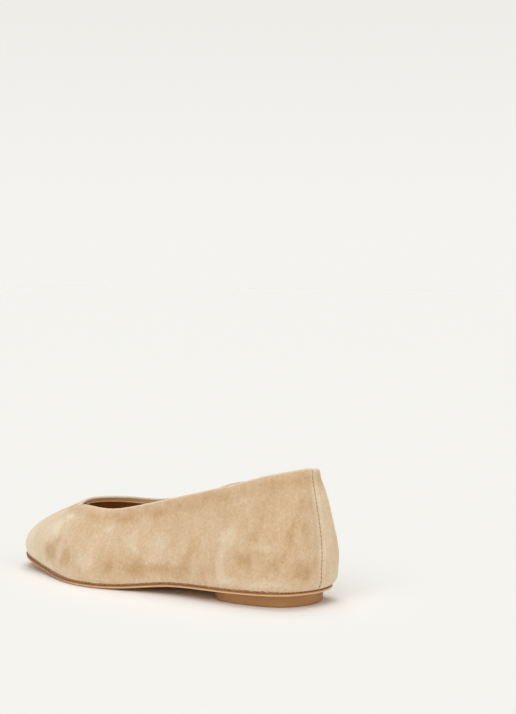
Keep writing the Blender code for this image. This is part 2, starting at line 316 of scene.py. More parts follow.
# Painted shade on the lower fold, in the gap under the lining's edge
FOLD_PAINTED_SHADE = (0.380, 0.190, 0.080, 1.0)
LINING_LEATHER = (0.600, 0.330, 0.140, 1.0)
LINING_LEATHER_DARK = (0.500, 0.260, 0.105, 1.0)
# Pale cut edge of the lining, partly a painted highlight
LINING_EDGE_AND_HIGHLIGHT = (0.860, 0.560, 0.310, 1.0)
SOCK_LEATHER = (0.520, 0.270, 0.120, 1.0)
SOCK_LEATHER_DARK = (0.420, 0.205, 0.085, 1.0)
SOLE_EDGE = (0.860, 0.560, 0.300, 1.0)
SOLE_EDGE_FIBRE = (0.740, 0.450, 0.220, 1.0)
# Burnished top of the sole edge, also painted shade where it faces up
SOLE_EDGE_BURNISH_AND_SHADE = (0.340, 0.125, 0.038, 1.0)
# Painted shade at the foot of the sole edge, where it faces down
SOLE_EDGE_FOOT_SHADE = (0.400, 0.180, 0.070, 1.0)
SOLE_BOTTOM = (0.740, 0.420, 0.200, 1.0)
SOLE_BOTTOM_DARK = (0.640, 0.340, 0.150, 1.0)
LEDGE = (0.36, 0.16, 0.065, 1.0)
LEDGE_DARK = (0.24, 0.10, 0.040, 1.0)
PAD = (0.495, 0.256, 0.098, 1.0)
PAD_DARK = (0.424, 0.215, 0.079, 1.0)
FEATHER_DARK = (0.210, 0.085, 0.030, 1.0)
FEATHER_PALE = (0.560, 0.330, 0.170, 1.0)
THREAD_DARK = (0.160, 0.075, 0.030, 1.0)
THREAD_PALE = (0.280, 0.145, 0.065, 1.0)
PLAIN_COLOURS = {  # of each material where its finish isn't shown
    "brushed_suede": (0.74, 0.54, 0.33),
    "lining_leather": LINING_LEATHER[:3],
    "sock_leather_finish": LINING_LEATHER[:3],
    "sole_edge": (0.62, 0.33, 0.15),
    "sole_bottom": (0.42, 0.22, 0.10),
    "sole_ledge": (0.18, 0.08, 0.04),
    "pad_rubber_finish": (0.36, 0.19, 0.085),
    "feather_brown": (0.10, 0.05, 0.025),
    "brown_thread": (0.16, 0.09, 0.05),
    "pale_floor": FLOOR_COLOUR,
}


def ordered(members):
    """A closed ring of vertices in order, as their places."""
    ring = [min(members, key=lambda vertex: vertex.index)]
    left = set(members) - {ring[0]}
    while left:
        beside = [edge.other_vert(ring[-1]) for edge in ring[-1].link_edges]
        following = [vertex for vertex in beside if vertex in left]
        if not following:
            break
        ring.append(following[0])
        left.discard(following[0])
    return np.array([vertex.co[:] for vertex in ring])


def sharp_loops(mesh):
    """The closed lines of sharp edges, as sets of vertices."""
    beside = {}
    for edge in mesh.edges:
        if edge.calc_face_angle(0.0) > SHARP_ANGLE:
            first, second = edge.verts
            beside.setdefault(first, []).append(second)
            beside.setdefault(second, []).append(first)
    loops = []
    unseen = set(beside)
    while unseen:
        front = [unseen.pop()]
        loop = set(front)
        while front:
            for vertex in beside[front.pop()]:
                if vertex in unseen:
                    unseen.discard(vertex)
                    loop.add(vertex)
                    front.append(vertex)
        loops.append(loop)
    return loops


def from_the_back(ring):
    """The ring started at the back of the shoe and run by the outer side first."""
    start = np.argmax(ring[:, 1])
    turned = np.roll(ring, -start, axis=0)
    if turned[len(turned) // 4, 0] < turned[-(len(turned) // 4), 0]:
        turned = np.roll(turned[::-1], 1, axis=0)
    return turned


def under(ring, above):
    """The ring turned and started so that each of its points lies by the one above."""
    best = ring
    least = np.inf
    for candidate in (ring, ring[::-1]):
        for shift in range(len(ring)):
            moved = np.roll(candidate, shift, axis=0)
            apart = np.sum((moved - above) ** 2)
            if apart < least:
                least = apart
                best = moved
    return best


def wall_rows(top, beside, foot_loops):
    """Rows of points down one face of the wall, from the topline to the foot line."""
    rows = [from_the_back(ordered(top))]
    used = set(top) | set(beside)
    last = set(top)
    foot = set().union(*foot_loops)
    while not last <= foot:
        last = {edge.other_vert(vertex) for vertex in last for edge in vertex.link_edges} - used
        used |= last
        rows.append(under(ordered(last), rows[-1]))
    return np.array(rows)


def merged_copy(name):
    """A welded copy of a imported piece's mesh."""
    copy = bmesh.new()
    copy.from_mesh(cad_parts[name].data)
    bmesh.ops.remove_doubles(copy, verts=copy.verts[:], dist=WELD)
    copy.verts.index_update()
    return copy


def upper_walls():
    """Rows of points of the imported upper's outer and inner walls."""
    mesh = merged_copy("upper")
    loops = sharp_loops(mesh)
    loops.sort(key=lambda loop: -np.mean([vertex.co.z for vertex in loop]))
    outer, inner = sorted(loops[:2], key=lambda loop: -max(vertex.co.y for vertex in loop))
    outside = wall_rows(outer, inner, loops[2:])
    inside = wall_rows(inner, outer, loops[2:])
    mesh.free()
    return raised(outside), raised(inside)


def bell(distance, reach):
    """A soft rise: 1 in the middle, fading with the distance from it."""
    return np.exp(-((distance / reach) ** 2))


def raised(rows):
    """The wall with its edge raised in places, fading down the wall."""
    fade = np.clip(1.0 - run_down(rows) / RISE_FADE, 0.0, 1.0) ** 2
    lift = np.zeros(rows.shape[1])
    for side, place, reach, height in EDGE_RISES:
        beside = np.clip(rows[0, :, 0] * side / RISE_SIDE, 0.0, 1.0)
        lift += height * beside * bell(rows[0, :, 1] - place, reach)
    up = unit(rows[0] - rows[2])
    return rows + up[None] * (lift[None] * fade)[..., None]


def curve_through(points, share):
    """Smooth curve between the second and third of four points."""
    before, start, end, after = points
    first = end - before
    second = 2.0 * before - 5.0 * start + 4.0 * end - after
    third = 3.0 * (start - end) + after - before
    return start + 0.5 * share * (first + share * (second + share * third))


def more_columns(rows, count):
    """The rows resampled round the shoe."""
    given = rows.shape[1]
    place = np.arange(count) * given / count
    first = place.astype(int)
    share = (place - first)[None, :, None]
    points = [rows[:, (first + step) % given] for step in (-1, 0, 1, 2)]
    return curve_through(points, share)


def more_rows(rows, per_step):
    """The rows resampled down the wall, per_step new ones for each old one."""
    last = rows.shape[0] - 1
    padded = np.concatenate([2.0 * rows[:1] - rows[1:2], rows, 2.0 * rows[-1:] - rows[-2:-1]])
    place = np.arange(last * per_step + 1) / per_step
    first = np.minimum(place.astype(int), last - 1)
    share = (place - first)[:, None, None]
    points = [padded[first + step] for step in (0, 1, 2, 3)]
    return curve_through(points, share)


def run_down(rows):
    """How far each point is from the top of its column, along the surface."""
    steps = np.linalg.norm(np.diff(rows, axis=0), axis=2)
    return np.concatenate([np.zeros((1, rows.shape[1])), np.cumsum(steps, axis=0)])


def at_distances(rows, distances):
    """Points of each column at the given distances from its top."""
    run = run_down(rows)
    placed = np.empty(distances.shape + (3,))
    for column in range(rows.shape[1]):
        for axis in range(3):
            placed[:, column, axis] = np.interp(
                distances[:, column], run[:, column], rows[:, column, axis]
            )
    return placed


def unit(vectors):
    """The vectors at a length of 1."""
    return vectors / np.linalg.norm(vectors, axis=-1, keepdims=True)


def outward_normals(rows):
    """Unit normals of a sheet of rows, pointing away from the inside of the shoe."""
    around = np.roll(rows, -1, axis=1) - np.roll(rows, 1, axis=1)
    down = np.gradient(rows, axis=0)
    normals = unit(np.cross(down, around))
    if normals[rows.shape[0] // 2, 0, 1] < 0.0:
        normals = -normals
    return normals


def ring_sheet(rows, fields):
    """An open sheet laid from closed rows of points, with its fields as values at each point."""
    last = rows.shape[0] - 1
    count = rows.shape[1]
    sheet = bmesh.new()
    bmesh.ops.create_grid(sheet, x_segments=count, y_segments=last, size=1.0)
    layers = {name: sheet.verts.layers.float.new(name) for name in fields}
    for vertex in sheet.verts:
        around = round((1.0 + vertex.co.x) / 2.0 * count) % count
        row = round((1.0 - vertex.co.y) / 2.0 * last)
        vertex.co = rows[row, around]
        for name, layer in layers.items():
            vertex[layer] = fields[name][row, around]
    bmesh.ops.remove_doubles(sheet, verts=sheet.verts[:], dist=WELD / 2.0)
    return sheet


def face_like(sheet, rows, normals):
    """Turns the sheet's faces so that they point with the given normals."""
    row = rows.shape[0] // 2
    spot = Vector(rows[row, 0])
    face = min(sheet.faces, key=lambda face: (face.calc_center_median() - spot).length_squared)
    face.normal_update()
    if face.normal.dot(Vector(normals[row, 0])) < 0.0:
        bmesh.ops.reverse_faces(sheet, faces=sheet.faces[:])


def finished(name, mesh_data, finishes, replaced=()):
    """The object of one finished piece, which rides with the shoe."""
    mesh = bpy.data.meshes.new(name)
    mesh_data.to_mesh(mesh)
    mesh_data.free()
    mesh.shade_smooth()
    mesh.set_sharp_from_angle(angle=SMOOTH_ANGLE)
    for finish in finishes:
        mesh.materials.append(finish)
    piece = bpy.data.objects.new(name, mesh)
    bpy.context.scene.collection.objects.link(piece)
    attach(piece, "root")
    if replaced:
        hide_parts(*replaced)
    return piece


def thicken(piece, thickness):
    """A wall behind the sheet's own face."""
    wall = piece.modifiers.new("Thickness", "SOLIDIFY")
    wall.thickness = thickness
    wall.offset = -1.0
    wall.use_even_offset = True


def bells(table, columns, points, side):
    """Sum of soft spots of a table at each point, on one side of the shoe."""
    total = np.zeros(points.shape[:-1])
    strength = columns[-1]
    for row in table:
        spot = dict(zip(columns, row))
        if spot.get("side", 1) != side:
            continue
        above = points[..., 2] - spot["z"]
        up = above / spot["tall"]
        along = (points[..., 1] - spot["y"] - spot["lean"] * above) / spot["long"]
        total += spot[strength] * np.exp(-(up**2 + along**2))
    return total


def wavered(points, reach, size, seed):
    """The points moved about by soft noise, so that a spot's outline isn't a plain oval."""
    shift = Vector((seed, seed, seed))
    moved = points.reshape(-1, 3).copy()
    for place in moved:
        place += reach * np.array(noise.noise_vector(Vector(place) / size + shift))
    return moved.reshape(points.shape)


def side_share(normals, side):
    """1 on the faces that look to a side, easing to 0 over the toe, the back and the top."""
    return np.clip(normals[..., 0] * side * SIDE_EASE, 0.0, 1.0)


def nap_tone(points, normals):
    """How the nap is brushed: over 0 is darker and under 0 lighter."""
    loose = points
    for reach, size, seed in NAP_WAVERS:
        loose = wavered(loose, reach, size, seed)
    outer = bells(NAP_MARKS, NAP_MARK_COLUMNS, loose, 1) * side_share(normals, 1)
    swapped = loose * np.array([-1.0, 1.0, 1.0]) + np.array(NAP_INNER_SHIFT)
    inner = bells(NAP_MARKS, NAP_MARK_COLUMNS, swapped, 1) * side_share(normals, -1)
    return outer + inner


def crease_depth(points, normals):
    """How far the leather goes in at its creases and hollows."""
    total = np.zeros(points.shape[:-1])
    for side in (1, -1):
        total += bells(CREASES, CREASE_COLUMNS, points, side) * side_share(normals, side)
    return total


def tape_lift(distances):
    """The tape under the folded edge, and the trough below it."""
    tape = TAPE_LIFT * bell(distances - TAPE_BAND * TAPE_CENTRE, TAPE_BAND * TAPE_REACH)
    return tape - TAPE_TROUGH * bell(distances - TAPE_BAND * TROUGH_CENTRE, TROUGH_REACH)


def counter_fill(face, to_foot):
    """How far the stiffened back stands out low down, where it turns in under the foot."""
    back = np.clip((face[..., 1] - COUNTER_FRONT) / COUNTER_RUN, 0.0, 1.0) ** 2
    return COUNTER_FILL * back * bell(to_foot - COUNTER_HEIGHT, COUNTER_REACH)


def seam_profile(across):
    """Height of the butted back seam at a distance across it."""
    groove = SEAM_DEPTH * bell(across, SEAM_WIDTH)
    shoulder = SEAM_LIFT * bell(np.abs(across) - SEAM_SHOULDER, SEAM_SHOULDER)
    return shoulder - groove


def pleats(face, to_foot):
    """Fine gathers above the sole, strong round the toe and the heel and faint along the sides."""
    foot = face[-1]
    steps = np.linalg.norm(np.roll(foot, -1, axis=0) - foot, axis=1)
    run = np.concatenate([[0.0], np.cumsum(steps)[:-1]])
    waver = np.array([noise.noise(Vector((place * PLEAT_WAVER_SCALE, 2.0, 7.0))) for place in run])
    wave = np.cos(2.0 * math.pi * (run + waver * PLEAT_WAVER) / PLEAT_STEP)
    ends = np.clip((np.abs(foot[:, 1]) - PLEAT_START) / PLEAT_RUN, PLEAT_LEAST, 1.0)
    return PLEAT_DEPTH * bell(to_foot, PLEAT_REACH) * (wave * ends)[None, :]


def suede_rows(outside):
    """Rows of the suede's outer face from the rim to the foot, and how far each is from the rim."""
    wall = more_rows(more_columns(outside, SUEDE_COLUMNS), SUEDE_STEPS)
    length = run_down(wall)[-1]
    fine = np.arange(1, round(FINE_BAND / FINE_ROW) + 1) * FINE_ROW
    foot = np.arange(round(FOOT_BAND / FINE_ROW), -1, -1) * FINE_ROW
    body = np.arange(1, BODY_ROWS) / BODY_ROWS
    distances = np.concatenate(
        [
            np.repeat(fine[:, None], SUEDE_COLUMNS, axis=1),
            FINE_BAND + np.outer(body, length - FINE_BAND - FOOT_BAND - FINE_ROW),
            length[None, :] - foot[:, None],
        ]
    )
    return at_distances(wall, distances), distances, length


def seam_across(rows):
    """Signed distance of each point from the back seam, along its row."""
    steps = np.linalg.norm(np.roll(rows, -1, axis=1) - rows, axis=2)
    forward = np.concatenate([np.zeros((rows.shape[0], 1)), np.cumsum(steps, axis=1)[:, :-1]], axis=1)
    total = steps.sum(axis=1, keepdims=True)
    return np.where(forward < total / 2.0, forward, forward - total)


def seam_moved(rows, to_foot):
    """The columns moved round a little so that the first one follows the curve of the back seam."""
    across = seam_across(rows)
    low = np.clip(1.0 - to_foot / SEAM_CURVE_HEIGHT, 0.0, 1.0) ** 2
    moved = np.empty_like(rows)
    for row, ring in enumerate(rows):
        order = np.argsort(across[row])
        places = across[row][order]
        near = bell(across[row], SEAM_CURVE_REACH)
        wanted = np.clip(across[row] + SEAM_CURVE * low[row] * near, places[0], places[-1])
        for axis in range(3):
            moved[row, :, axis] = np.interp(wanted, places, ring[order, axis])
    return moved


def shaped_face(face, normals, across, distances, to_foot):
    """The suede's outer face with its tape, back, seam, creases, gathers and rounded foot."""
    lift = tape_lift(distances)
    lift += counter_fill(face, to_foot)
    lift += seam_profile(across)
    lift -= crease_depth(face, normals)
    lift += pleats(face, to_foot)
    corner = np.clip(1.0 - to_foot / FOOT_ROUND, 0.0, 1.0) ** 2
    shaped = face + normals * lift[..., None]
    return shaped - normals * (corner * FOOT_ROUND * FOOT_ROUND_DEPTH)[..., None]


def rolled_edge(shaped, normals):
    """Rows of the fold inside the shoe and of the rolled rim above it, from the lowest one."""
    start = shaped[0]
    up = unit(shaped[0] - shaped[3])
    inward = -normals[0]
    radius = RIM_WIDTH / 2.0
    centre = start + inward * radius
    waver = np.array([noise.noise(Vector((place * RIM_WAVER_SCALE).tolist())) for place in start])
    height = (radius + RIM_WAVER * waver)[:, None]
    rim = []
    for step in range(1, RIM_STEPS):
        angle = math.pi * step / RIM_STEPS
        rim.append(centre - inward * radius * math.cos(angle) + up * height * math.sin(angle))
    inner_edge = start + inward * RIM_WIDTH
    fold = [inner_edge - up * drop + inward * stand for drop, stand in FOLD_ROWS]
    return np.array(fold[::-1] + rim[::-1])


def tucked_edge(shaped, normals):
    """Rows of the suede turned in under the foot."""
    plan_inward = unit(-normals[-1] * np.array([1.0, 1.0, 0.0]))
    return np.array([shaped[-1] + plan_inward * reach for reach in TUCK_STEPS])


def carried_on(values, first, above, last, below):
    """A field of the face with rows of one value each added above and below."""
    width = values.shape[1]
    return np.concatenate(
        [np.broadcast_to(first, (above, width)), values, np.broadcast_to(last, (below, width))]
    )


def make_suede(outside, finish):
    """The suede from inside the fold, over the rim and down to the tuck under the foot."""
    face, distances, length = suede_rows(outside)
    to_foot = length[None, :] - distances
    face = seam_moved(face, to_foot)
    normals = outward_normals(face)
    across = seam_across(face)
    shaped = shaped_face(face, normals, across, distances, to_foot)
    edge = rolled_edge(shaped, normals)
    tuck = tucked_edge(shaped, normals)
    rows = np.concatenate([edge, shaped, tuck])
    rows[..., 2] = np.maximum(rows[..., 2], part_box("upper")[0].z)
    above = len(edge)
    below = len(tuck)
    turned_in = np.zeros((rows.shape[0], SUEDE_COLUMNS))
    # 1 on the fold, which gets painted light, and 2 lower down, which gets painted shade
    for row, (drop, _) in enumerate(FOLD_ROWS[::-1]):
        turned_in[row] = 1.0 + (drop > FOLD_SHADE_DROP)
    fields = {
        "from_top": carried_on(distances, 0.0, above, length, below),
        "from_foot": carried_on(to_foot, length, above, 0.0, below),
        "nap": carried_on(nap_tone(face, normals), 0.0, above, 0.0, below),
        "seam": carried_on(across, across[0], above, across[-1], below),
        "turned_in": turned_in,
    }
    sheet = ring_sheet(rows, fields)
    face_like(sheet, shaped, normals)
    piece = finished("suede_upper", sheet, [finish], ("upper",))
    thicken(piece, SUEDE_THICKNESS)
    return shaped, normals


def make_lining(inside, finish):
    """Leather lining from just under the rim down to the sock."""
    wall = more_rows(more_columns(inside, LINING_COLUMNS), LINING_STEPS)
    length = run_down(wall)[-1]
    share = np.arange(LINING_ROWS + 1) / LINING_ROWS
    distances = LINING_DROP + np.outer(share**LINING_CROWD, length - LINING_DROP)
    rows = at_distances(wall, distances)
    normals = outward_normals(rows)
    down = distances - LINING_DROP
    stand = LINING_STAND * bell(down, LINING_STAND_REACH)
    seam = LINING_SEAM * bell(seam_across(rows), LINING_SEAM_WIDTH)
    rows = rows - normals * (stand + seam)[..., None]
    sheet = ring_sheet(rows, {"from_top": down})
    face_like(sheet, rows, -normals)
    piece = finished("lining", sheet, [finish], ())
    thicken(piece, LINING_THICKNESS)
    edge = piece.modifiers.new("Edge", "BEVEL")
    edge.width = LINING_BEVEL
    edge.segments = 2
    edge.limit_method = "ANGLE"


def make_stitches(face, normals, finish):
    """Lockstitches down one side of the back seam."""
    column = face[:, 0]
    run = np.concatenate([[0.0], np.cumsum(np.linalg.norm(np.diff(column, axis=0), axis=1))])
    count = int((run[-1] - STITCH_START) / STITCH_STEP)
    side = unit(face[:, 1] - face[:, -1])
    size = Matrix.Diagonal((1.0, STITCH_FLAT, STITCH_LENGTH / 2.0 / STITCH_RADIUS, 1.0))
    thread = bmesh.new()
    for index in range(count):
        here = STITCH_START + index * STITCH_STEP
        row = min(int(np.searchsorted(run, here)), len(run) - 2)
        place = np.array([np.interp(here, run, column[:, axis]) for axis in range(3)])
        out = Vector(normals[row, 0])
        along = Vector(unit(column[row + 1] - column[row - 1]))
        cross = Vector(side[row])
        place = Vector(place) + cross * STITCH_OFFSET - out * STITCH_SINK
        turn = Matrix((cross, out, along)).transposed().to_4x4()
        bmesh.ops.create_icosphere(
            thread,
            subdivisions=1,
            radius=STITCH_RADIUS,
            matrix=Matrix.Translation(place) @ turn @ size,
        )
    finished("back_stitches", thread, [finish])


def make_feather(outside, finish):
    """The rough brown edge of the upper's lasted margin, seen all round above the sole; its dark
    colour is partly painted shade of the gap between suede and sole.
    """
    wall = more_columns(outside, FEATHER_COLUMNS)
    foot = wall[-1]
    up = unit(wall[-2] - wall[-1])
    run = np.roll(foot, -1, axis=0) - np.roll(foot, 1, axis=0)
    out = unit(np.cross(up, run))
    if out[0, 1] < 0.0:
        out = -out
    near, far = FEATHER_TOE
    toe = np.clip((foot[:, 1] - near) / (far - near), 0.0, 1.0)
    toe = toe * toe * (3.0 - 2.0 * toe)
    tall = FEATHER_TALL + (FEATHER_TALL_TOE - FEATHER_TALL) * toe
    rough = np.array([noise.noise(Vector((place * FEATHER_ROUGH_SCALE).tolist())) for place in foot])
    tall = tall * (1.0 + FEATHER_ROUGH * rough)
    rows = []
    for step in range(FEATHER_SIDES + 1):
        angle = 2.0 * math.pi * step / FEATHER_SIDES
        outwards = out * (FEATHER_DEEP * math.cos(angle) - FEATHER_INSET)
        rows.append(foot + outwards + up * (tall * (FEATHER_RISE + math.sin(angle)))[:, None])
    rows = np.array(rows)
    rows[..., 2] = np.maximum(rows[..., 2], foot[None, :, 2] - FEATHER_LOWEST)
    strip = ring_sheet(rows, {})
    bmesh.ops.recalc_face_normals(strip, faces=strip.faces[:])
    finished("feather_edge", strip, [finish])


def dressed_copy(name, bevel_width, finishes, cut_face=None):
    """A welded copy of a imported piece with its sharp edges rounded."""
    copy = merged_copy(name)
    bmesh.ops.dissolve_limit(copy, angle_limit=FLAT_ANGLE, verts=copy.verts[:], edges=copy.edges[:])
    edges = [edge for edge in copy.edges if edge.calc_face_angle(0.0) > SHARP_ANGLE]
    bmesh.ops.bevel(
        copy,
        geom=edges,
        offset=bevel_width,
        offset_type="OFFSET",
        segments=BEVEL_SEGMENTS,
        profile=0.5,
        affect="EDGES",
        clamp_overlap=True,
        material=-1,
    )
    bmesh.ops.recalc_face_normals(copy, faces=copy.faces[:])
    copy.normal_update()
    # How far each point faces up, which the sole edge's painted highlight and shade follow
    level = copy.verts.layers.float.new("level")
    for vertex in copy.verts:
        vertex[level] = vertex.normal.z
    if cut_face is not None:
        for face in copy.faces:
            face.material_index = cut_face(face)
    finished(f"{name}_finish", copy, finishes, (name,))


def sole_face(face):
    """0 for the cut edge, 1 for the underside and 2 for the top."""
    if face.normal.z < -FLAT_FACE:
        return 1
    if face.normal.z > FLAT_FACE:
        return 2
    return 0


def put(tree, value, socket):
    """An input linked to another node, or set."""
    if isinstance(value, bpy.types.NodeSocket):
        tree.links.new(value, socket)
    else:
        socket.default_value = value


def add(tree, kind, sockets=None, **settings):
    """A shader node with its settings, and its inputs set or linked."""
    made = tree.nodes.new("ShaderNode" + kind)
    for name, value in settings.items():
        setattr(made, name, value)
    for key, value in (sockets or {}).items():
        put(tree, value, made.inputs[key])
    return made


def maths(tree, operation, first, second=0.0, third=0.0):
    """The result of one sum."""
    made = add(tree, "Math", {0: first, 1: second, 2: third}, operation=operation)
    return made.outputs[0]


def spread(tree, value, low, high, to_low=0.0, to_high=1.0):
    """The value carried from one range to another, eased at both ends."""
    made = add(
        tree,
        "MapRange",
        {"Value": value, "From Min": low, "From Max": high, "To Min": to_low, "To Max": to_high},
        interpolation_type="SMOOTHSTEP",
    )
    return made.outputs["Result"]


def fading(tree, value, whole, gone, share=1.0):
    """A share that is whole under one value and eases to 0 over another."""
    return spread(tree, value, whole, gone, share, 0.0)


def swung(tree, pattern, share, tone=0.0):
    """The tone with the swing of a pattern round its middle added to it."""
    return maths(tree, "MULTIPLY_ADD", maths(tree, "SUBTRACT", pattern, 0.5), share, tone)


def mixed(tree, share, first, second):
    """Two colours mixed by a share."""
    made = add(tree, "Mix", {0: share, 6: first, 7: second}, data_type="RGBA")
    return made.outputs[2]


def two_toned(tree, pattern, low, high, first, second):
    """Two colours mixed by a pattern, between two of its values."""
    return mixed(tree, spread(tree, pattern, low, high), first, second)


def noise_value(tree, place, scale, detail=2.0, roughness=0.5, distortion=0.0):
    """Noise from 0 to 1."""
    made = add(
        tree,
        "TexNoise",
        {
            "Vector": place,
            "Scale": scale,
            "Detail": detail,
            "Roughness": roughness,
            "Distortion": distortion,
        },
    )
    return made.outputs["Fac"]


def stretched(tree, place, shares, turn=(0.0, 0.0, 0.0)):
    """Coordinates that draw a pattern out where a share is under 1."""
    made = add(tree, "Mapping", {"Vector": place, "Rotation": turn, "Scale": shares})
    return made.outputs["Vector"]


def new_group(name, inputs, outputs):
    """A node group with float and vector inputs, and its start and end nodes."""
    tree = bpy.data.node_groups.new(name, "ShaderNodeTree")
    for socket, kind, value in inputs:
        made = tree.interface.new_socket(name=socket, in_out="INPUT", socket_type=kind)
        if value is not None:
            made.default_value = value
    for socket, kind in outputs:
        tree.interface.new_socket(name=socket, in_out="OUTPUT", socket_type=kind)
    return tree, tree.nodes.new("NodeGroupInput"), tree.nodes.new("NodeGroupOutput")


def placed_group(tree, group, sockets):
    """A node group placed in a material, with its inputs set or linked."""
    made = tree.nodes.new("ShaderNodeGroup")
    made.node_tree = group
    for key, value in sockets.items():
        put(tree, value, made.inputs[key])
    return made


def nap_group():
    """Brushed nap: ragged marks, clouds, strokes and fine specks, as a tone round 0 and a height."""
    tree, start, end = new_group(
        "brushed_nap",
        (
            ("Place", "NodeSocketVector", None),
            ("Marks", "NodeSocketFloat", 0.0),
            ("Cloud", "NodeSocketFloat", 42.0),
            ("Stroke", "NodeSocketFloat", 130.0),
            ("Speck", "NodeSocketFloat", 1500.0),
        ),
        (("Tone", "NodeSocketFloat"), ("Height", "NodeSocketFloat")),
    )
    place = start.outputs["Place"]
    marks = start.outputs["Marks"]
    size = start.outputs["Speck"]
    cloud = noise_value(tree, place, start.outputs["Cloud"], 3.0, 0.55, 0.6)
    brushed = stretched(tree, place, (1.0, 1.0, 0.75), (0.35, 0.0, 0.0))
    strokes = noise_value(tree, brushed, start.outputs["Stroke"], 3.0, 0.55)
    specks = noise_value(tree, place, size, 2.0, 0.65)
    clump = noise_value(tree, place, maths(tree, "MULTIPLY", size, 0.32), 2.0, 0.6)
    ragged = swung(tree, strokes, NAP_RAGGED)
    darker = spread(tree, maths(tree, "ADD", marks, ragged), *NAP_DARKER, 0.0, NAP_DARKER_TONE)
    lighter = spread(tree, maths(tree, "SUBTRACT", ragged, marks), *NAP_LIGHTER, 0.0, NAP_LIGHTER_TONE)
    tone = maths(tree, "SUBTRACT", darker, lighter)
    tone = maths(tree, "ADD", tone, spread(tree, marks, *NAP_DEEPEST, 0.0, NAP_DEEPEST_TONE))
    tone = swung(tree, cloud, CLOUD_TONE, tone)
    tone = swung(tree, strokes, STROKE_TONE, tone)
    tone = swung(tree, specks, SPECK_TONE, tone)
    tone = swung(tree, clump, CLUMP_TONE, tone)
    height = maths(tree, "MULTIPLY_ADD", clump, 0.8, maths(tree, "MULTIPLY", specks, 0.7))
    put(tree, tone, end.inputs["Tone"])
    put(tree, height, end.inputs["Height"])
    return tree


def grain_group():
    """Fine leather grain: small pebbles and pores, as a tone round 0 and a height."""
    tree, start, end = new_group(
        "leather_grain",
        (("Place", "NodeSocketVector", None), ("Pebble", "NodeSocketFloat", 900.0)),
        (("Tone", "NodeSocketFloat"), ("Height", "NodeSocketFloat")),
    )
    place = start.outputs["Place"]
    size = start.outputs["Pebble"]
    pebbles = add(tree, "TexVoronoi", {"Vector": place, "Scale": size}, feature="DISTANCE_TO_EDGE")
    folds = noise_value(tree, place, maths(tree, "MULTIPLY", size, 0.12), 4.0, 0.6, 0.4)
    fine = noise_value(tree, place, maths(tree, "MULTIPLY", size, 2.2), 2.0, 0.6)
    cells = maths(tree, "MULTIPLY", pebbles.outputs["Distance"], 3.2)
    cells = maths(tree, "MINIMUM", cells, 1.0)
    height = maths(tree, "MULTIPLY_ADD", cells, 0.7, maths(tree, "MULTIPLY", fine, 0.4))
    tone = swung(tree, fine, 0.3, swung(tree, folds, 0.8))
    put(tree, tone, end.inputs["Tone"])
    put(tree, height, end.inputs["Height"])
    return tree


def new_material(name):
    """A material with its node tree, its shader and the piece's own coordinates."""
    made = bpy.data.materials.new(name)
    made.use_nodes = True
    made.diffuse_color = (*PLAIN_COLOURS[name], 1.0)
    tree = made.node_tree
    shader = tree.nodes["Principled BSDF"]
    place = tree.nodes.new("ShaderNodeTexCoord").outputs["Object"]
    return made, tree, shader, place


def surface(tree, shader, colour, roughness, height, strength, depth):
    """A finish's colour, roughness and bump."""
    put(tree, colour, shader.inputs["Base Color"])
    put(tree, roughness, shader.inputs["Roughness"])
    bump = add(tree, "Bump", {"Strength": strength, "Distance": depth, "Height": height})
    put(tree, bump.outputs["Normal"], shader.inputs["Normal"])


def field(tree, name):
    """A value that the piece's points carry."""
    return add(tree, "Attribute", attribute_name=name).outputs["Fac"]


def suede_tone(tree, axes, brushed, across):
    """Tone of the nap by place: painted highlights at the rim, the toe, the back strip and the back of
    the inner side, painted shade in the trough below the tape, and paler low down.
    """
    from_top = field(tree, "from_top")
    # painted shade in the trough below the tape
    trough_shade_start = spread(tree, from_top, *TROUGH_SHADE_START)
    trough_shade_end = fading(tree, from_top, *TROUGH_SHADE_END)
    # painted highlight on the back of the inner side
    inner_back_y = spread(tree, axes["Y"], *INNER_BACK_HIGHLIGHT_Y)
    inner_back_x = spread(tree, axes["X"], *INNER_BACK_HIGHLIGHT_X)
    tone = brushed
    for share, amount in (
        # painted highlight along the rim
        (fading(tree, from_top, *RIM_HIGHLIGHT_END), RIM_HIGHLIGHT_TONE),
        # painted highlight over the toe
        (spread(tree, axes["Y"], *TOE_HIGHLIGHT_START), TOE_HIGHLIGHT_TONE),
        # painted shade in the trough
        (maths(tree, "MULTIPLY", trough_shade_start, trough_shade_end), TROUGH_SHADE_TONE),
        # painted highlight on the back strip
        (fading(tree, across, *STRIP_HIGHLIGHT_END), STRIP_HIGHLIGHT_TONE),
        (maths(tree, "MULTIPLY", inner_back_y, inner_back_x), INNER_BACK_HIGHLIGHT_TONE),
        (fading(tree, field(tree, "from_foot"), *LOW_TONE_END), LOW_TONE),
    ):
        tone = maths(tree, "MULTIPLY_ADD", share, amount, tone)
    return tone


def suede_ramp(tree, tone):
    """The suede's colour from its tone."""
    share = maths(tree, "MULTIPLY_ADD", tone, TONE_TO_RAMP, 0.5)
    ramp = add(tree, "ValToRGB", {"Fac": share})
    ramp.color_ramp.interpolation = "LINEAR"
    stops = ramp.color_ramp.elements
    stops[0].position = 0.0
    stops[0].color = SUEDE_LIGHT
    stops[1].position = 1.0
    stops[1].color = SUEDE_DARK
    stops.new(0.5).color = SUEDE_MIDDLE
    return ramp.outputs["Color"]


